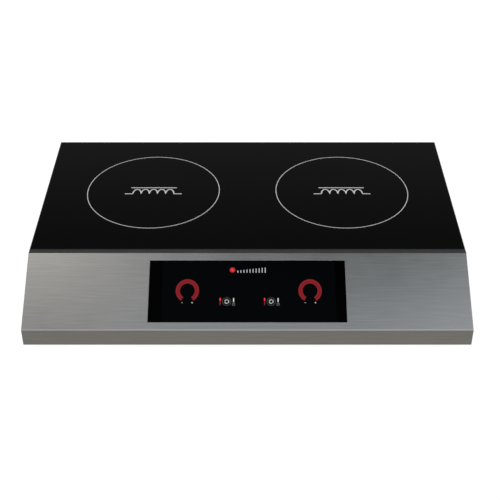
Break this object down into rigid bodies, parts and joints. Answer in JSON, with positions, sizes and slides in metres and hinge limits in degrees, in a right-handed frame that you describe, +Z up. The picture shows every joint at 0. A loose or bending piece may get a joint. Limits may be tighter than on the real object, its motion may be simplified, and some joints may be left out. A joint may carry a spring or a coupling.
{
  "type": "electric induction cooktop",
  "caption": "Low countertop induction cooktop: steel case, sloped front with a touch display, black glass over side-by-side round zones, rubber feet, slide-out air filter.",
  "frame": {"origin": "on the worktop, under the middle of the case", "axes": "+X to the right along the case's length, +Z up, the front and its sloped fascia face -Y"},
  "size_m": [0.74, 0.495, 0.1204],
  "materials": {
    "brushed_steel_case": "fine horizontal brushing",
    "plain_steel": "satin",
    "galvanised_steel": "galvanised",
    "screw_steel": "zinc plated",
    "spring_steel": "bright",
    "black_ceramic_glass": "polished",
    "display_glass": "polished",
    "black_silicone": "matte",
    "black_rubber": "matte",
    "black_plastic": "fine grain",
    "display_metal": "satin",
    "circuit_board": "solder mask",
    "ribbon": "satin",
    "aluminium": "mill finish",
    "brass": "turned",
    "cream_plastic": "moulded",
    "mains_wire": "sleeved",
    "fan_wire": "sleeved",
    "filter_steel_mesh": "woven",
    "transistor_epoxy": "moulded",
    "capacitor_film": "potted",
    "choke_copper": "enamelled copper",
    "litz_copper": "stranded",
    "ferrite": "sintered",
    "mica": "flaky",
    "sensor_ceramic": "fired"
  },
  "bodies": {
    "case": {"body_shell": "brushed_steel_case", "base_pan": "galvanised_steel", "rear_panel": "plain_steel", "base_screws": "screw_steel", "rear_screws": "screw_steel", "rubber_feet": "black_rubber", "foot_screws": "screw_steel", "glass_top": "black_ceramic_glass", "glass_seal": "black_silicone", "cord_gland": "black_plastic", "gland_locknut": "black_plastic", "display_glass": "display_glass", "display_gasket": "black_silicone", "display_module": "display_metal", "control_tray": "galvanised_steel", "control_board": "circuit_board", "ribbon_cable": "ribbon", "coil_plate": "aluminium", "plate_posts": "screw_steel", "board_spacers": "brass", "mains_filter_board": "circuit_board", "terminal_block": "cream_plastic", "mains_leads": "mains_wire", "fan_bulkhead": "galvanised_steel", "fan_leads": "fan_wire", "filter_rails": "galvanised_steel", "power_board_left": "circuit_board", "power_board_right": "circuit_board", "heat_sink_left": "aluminium", "heat_sink_right": "aluminium", "power_transistors_left": "transistor_epoxy", "power_transistors_right": "transistor_epoxy", "film_capacitors_left": "capacitor_film", "film_capacitors_right": "capacitor_film", "filter_choke_left": "choke_copper", "filter_choke_right": "choke_copper", "fan_frame_left": "black_plastic", "fan_frame_right": "black_plastic", "coil_springs_left": "spring_steel", "coil_springs_right": "spring_steel", "coil_studs_left": "screw_steel", "coil_studs_right": "screw_steel", "coil_leads_left": "choke_copper", "coil_leads_right": "choke_copper"},
    "air_filter": {"filter_frame": "black_plastic", "filter_mesh": "filter_steel_mesh"},
    "fan_rotor_left": {"fan_impeller_left": "black_plastic"},
    "coil_left": {"coil_former_left": "cream_plastic", "coil_winding_left": "litz_copper", "ferrite_bars_left": "ferrite", "mica_sheet_left": "mica", "sensor_spring_left": "spring_steel"},
    "sensor_left": {"heat_sensor_left": "sensor_ceramic"},
    "fan_rotor_right": {"fan_impeller_right": "black_plastic"},
    "coil_right": {"coil_former_right": "cream_plastic", "coil_winding_right": "litz_copper", "ferrite_bars_right": "ferrite", "mica_sheet_right": "mica", "sensor_spring_right": "spring_steel"},
    "sensor_right": {"heat_sensor_right": "sensor_ceramic"}
  },
  "joints": [
    {"name": "fan_left_spin", "type": "hinge", "parent": "case", "child": "fan_rotor_left", "pos_m": [-0.173, -0.09, 0.064], "axis": [0, -1, 0], "continuous": true},
    {"name": "fan_right_spin", "type": "hinge", "parent": "case", "child": "fan_rotor_right", "pos_m": [0.173, -0.09, 0.064], "axis": [0, -1, 0], "continuous": true},
    {"name": "filter_slide", "type": "slide", "parent": "case", "child": "air_filter", "axis": [0, -1, 0], "range_m": [0, 0.1]},
    {"name": "coil_left_float", "type": "slide", "parent": "case", "child": "coil_left", "axis": [0, 0, -1], "range_m": [0, 0.002], "stiffness_N_per_m": 6000, "springref_m": -0.006, "deforming": ["coil_springs_left", "coil_leads_left"]},
    {"name": "sensor_left_press", "type": "slide", "parent": "coil_left", "child": "sensor_left", "axis": [0, 0, -1], "range_m": [0, 0.003], "stiffness_N_per_m": 500, "springref_m": -0.004, "deforming": ["sensor_spring_left"]},
    {"name": "coil_right_float", "type": "slide", "parent": "case", "child": "coil_right", "axis": [0, 0, -1], "range_m": [0, 0.002], "stiffness_N_per_m": 6000, "springref_m": -0.006, "deforming": ["coil_springs_right", "coil_leads_right"]},
    {"name": "sensor_right_press", "type": "slide", "parent": "coil_right", "child": "sensor_right", "axis": [0, 0, -1], "range_m": [0, 0.003], "stiffness_N_per_m": 500, "springref_m": -0.004, "deforming": ["sensor_spring_right"]}
  ]
}
